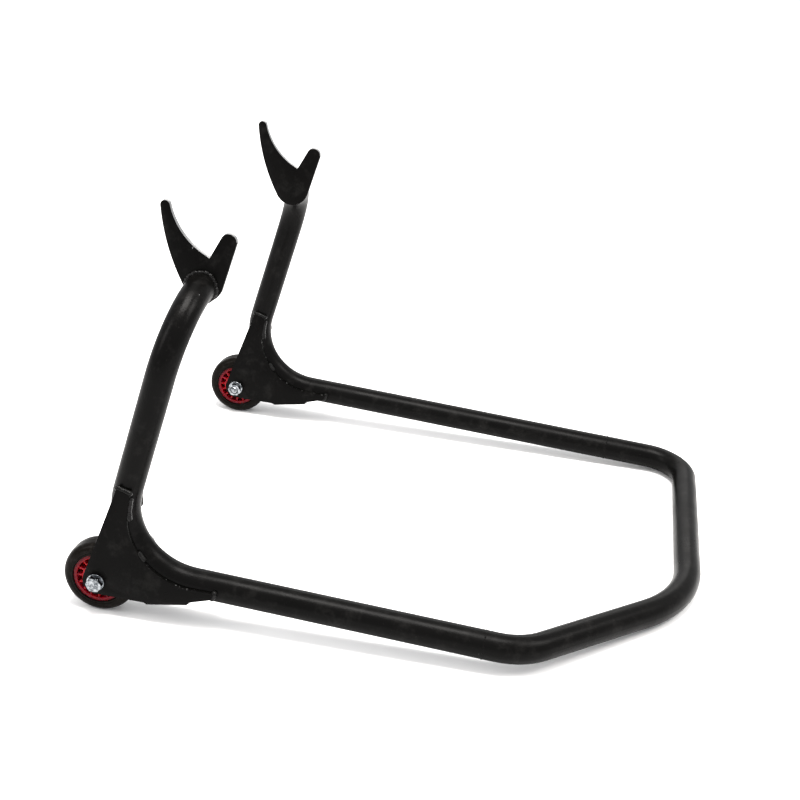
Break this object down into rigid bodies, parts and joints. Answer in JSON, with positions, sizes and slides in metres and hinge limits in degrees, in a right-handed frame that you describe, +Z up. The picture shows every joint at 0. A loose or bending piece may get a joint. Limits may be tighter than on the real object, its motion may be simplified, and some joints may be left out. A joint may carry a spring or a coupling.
{
  "type": "paddock stand",
  "caption": "Rear motorcycle paddock stand: bent tube frame with two V hooks and a low push handle, rolling on small red-hubbed wheels.",
  "frame": {"origin": "centre of the footprint, on the floor", "axes": "+X from the wheels toward the push handle, +Y to the side with the square handle corner, +Z up"},
  "size_m": [0.5715, 0.4986, 0.3635],
  "materials": {
    "black_paint": "satin black coat",
    "tyre_black": "matt",
    "hub_red": "gloss",
    "zinc_plate": "bright zinc plate",
    "bearing_steel": "ground steel"
  },
  "bodies": {
    "frame": {"left_side_tube": "black_paint", "right_side_tube": "black_paint", "handle_tube": "black_paint", "handle_joint_welds": "black_paint", "left_hook": "black_paint", "left_hook_weld": "black_paint", "left_gusset_outer": "black_paint", "left_gusset_inner": "black_paint", "left_gusset_welds": "black_paint", "left_axle_bolt": "zinc_plate", "left_axle_nut": "zinc_plate", "left_axle_washers": "zinc_plate", "left_axle_sleeve": "bearing_steel", "left_axle_spacers": "bearing_steel", "left_bearing_inner_races": "bearing_steel", "right_hook": "black_paint", "right_hook_weld": "black_paint", "right_gusset_outer": "black_paint", "right_gusset_inner": "black_paint", "right_gusset_welds": "black_paint", "right_axle_bolt": "zinc_plate", "right_axle_nut": "zinc_plate", "right_axle_washers": "zinc_plate", "right_axle_sleeve": "bearing_steel", "right_axle_spacers": "bearing_steel", "right_bearing_inner_races": "bearing_steel"},
    "left_wheel": {"left_tyre": "tyre_black", "left_hub": "hub_red", "left_bearing_outer_races": "bearing_steel", "left_bearing_shields": "bearing_steel", "left_bearing_balls": "bearing_steel"},
    "right_wheel": {"right_tyre": "tyre_black", "right_hub": "hub_red", "right_bearing_outer_races": "bearing_steel", "right_bearing_shields": "bearing_steel", "right_bearing_balls": "bearing_steel"}
  },
  "joints": [
    {"name": "left_wheel_spin", "type": "hinge", "parent": "frame", "child": "left_wheel", "pos_m": [-0.25225, -0.2254, 0.0335], "axis": [0, 1, 0], "continuous": true},
    {"name": "right_wheel_spin", "type": "hinge", "parent": "frame", "child": "right_wheel", "pos_m": [-0.25225, 0.2254, 0.0335], "axis": [0, 1, 0], "continuous": true}
  ]
}
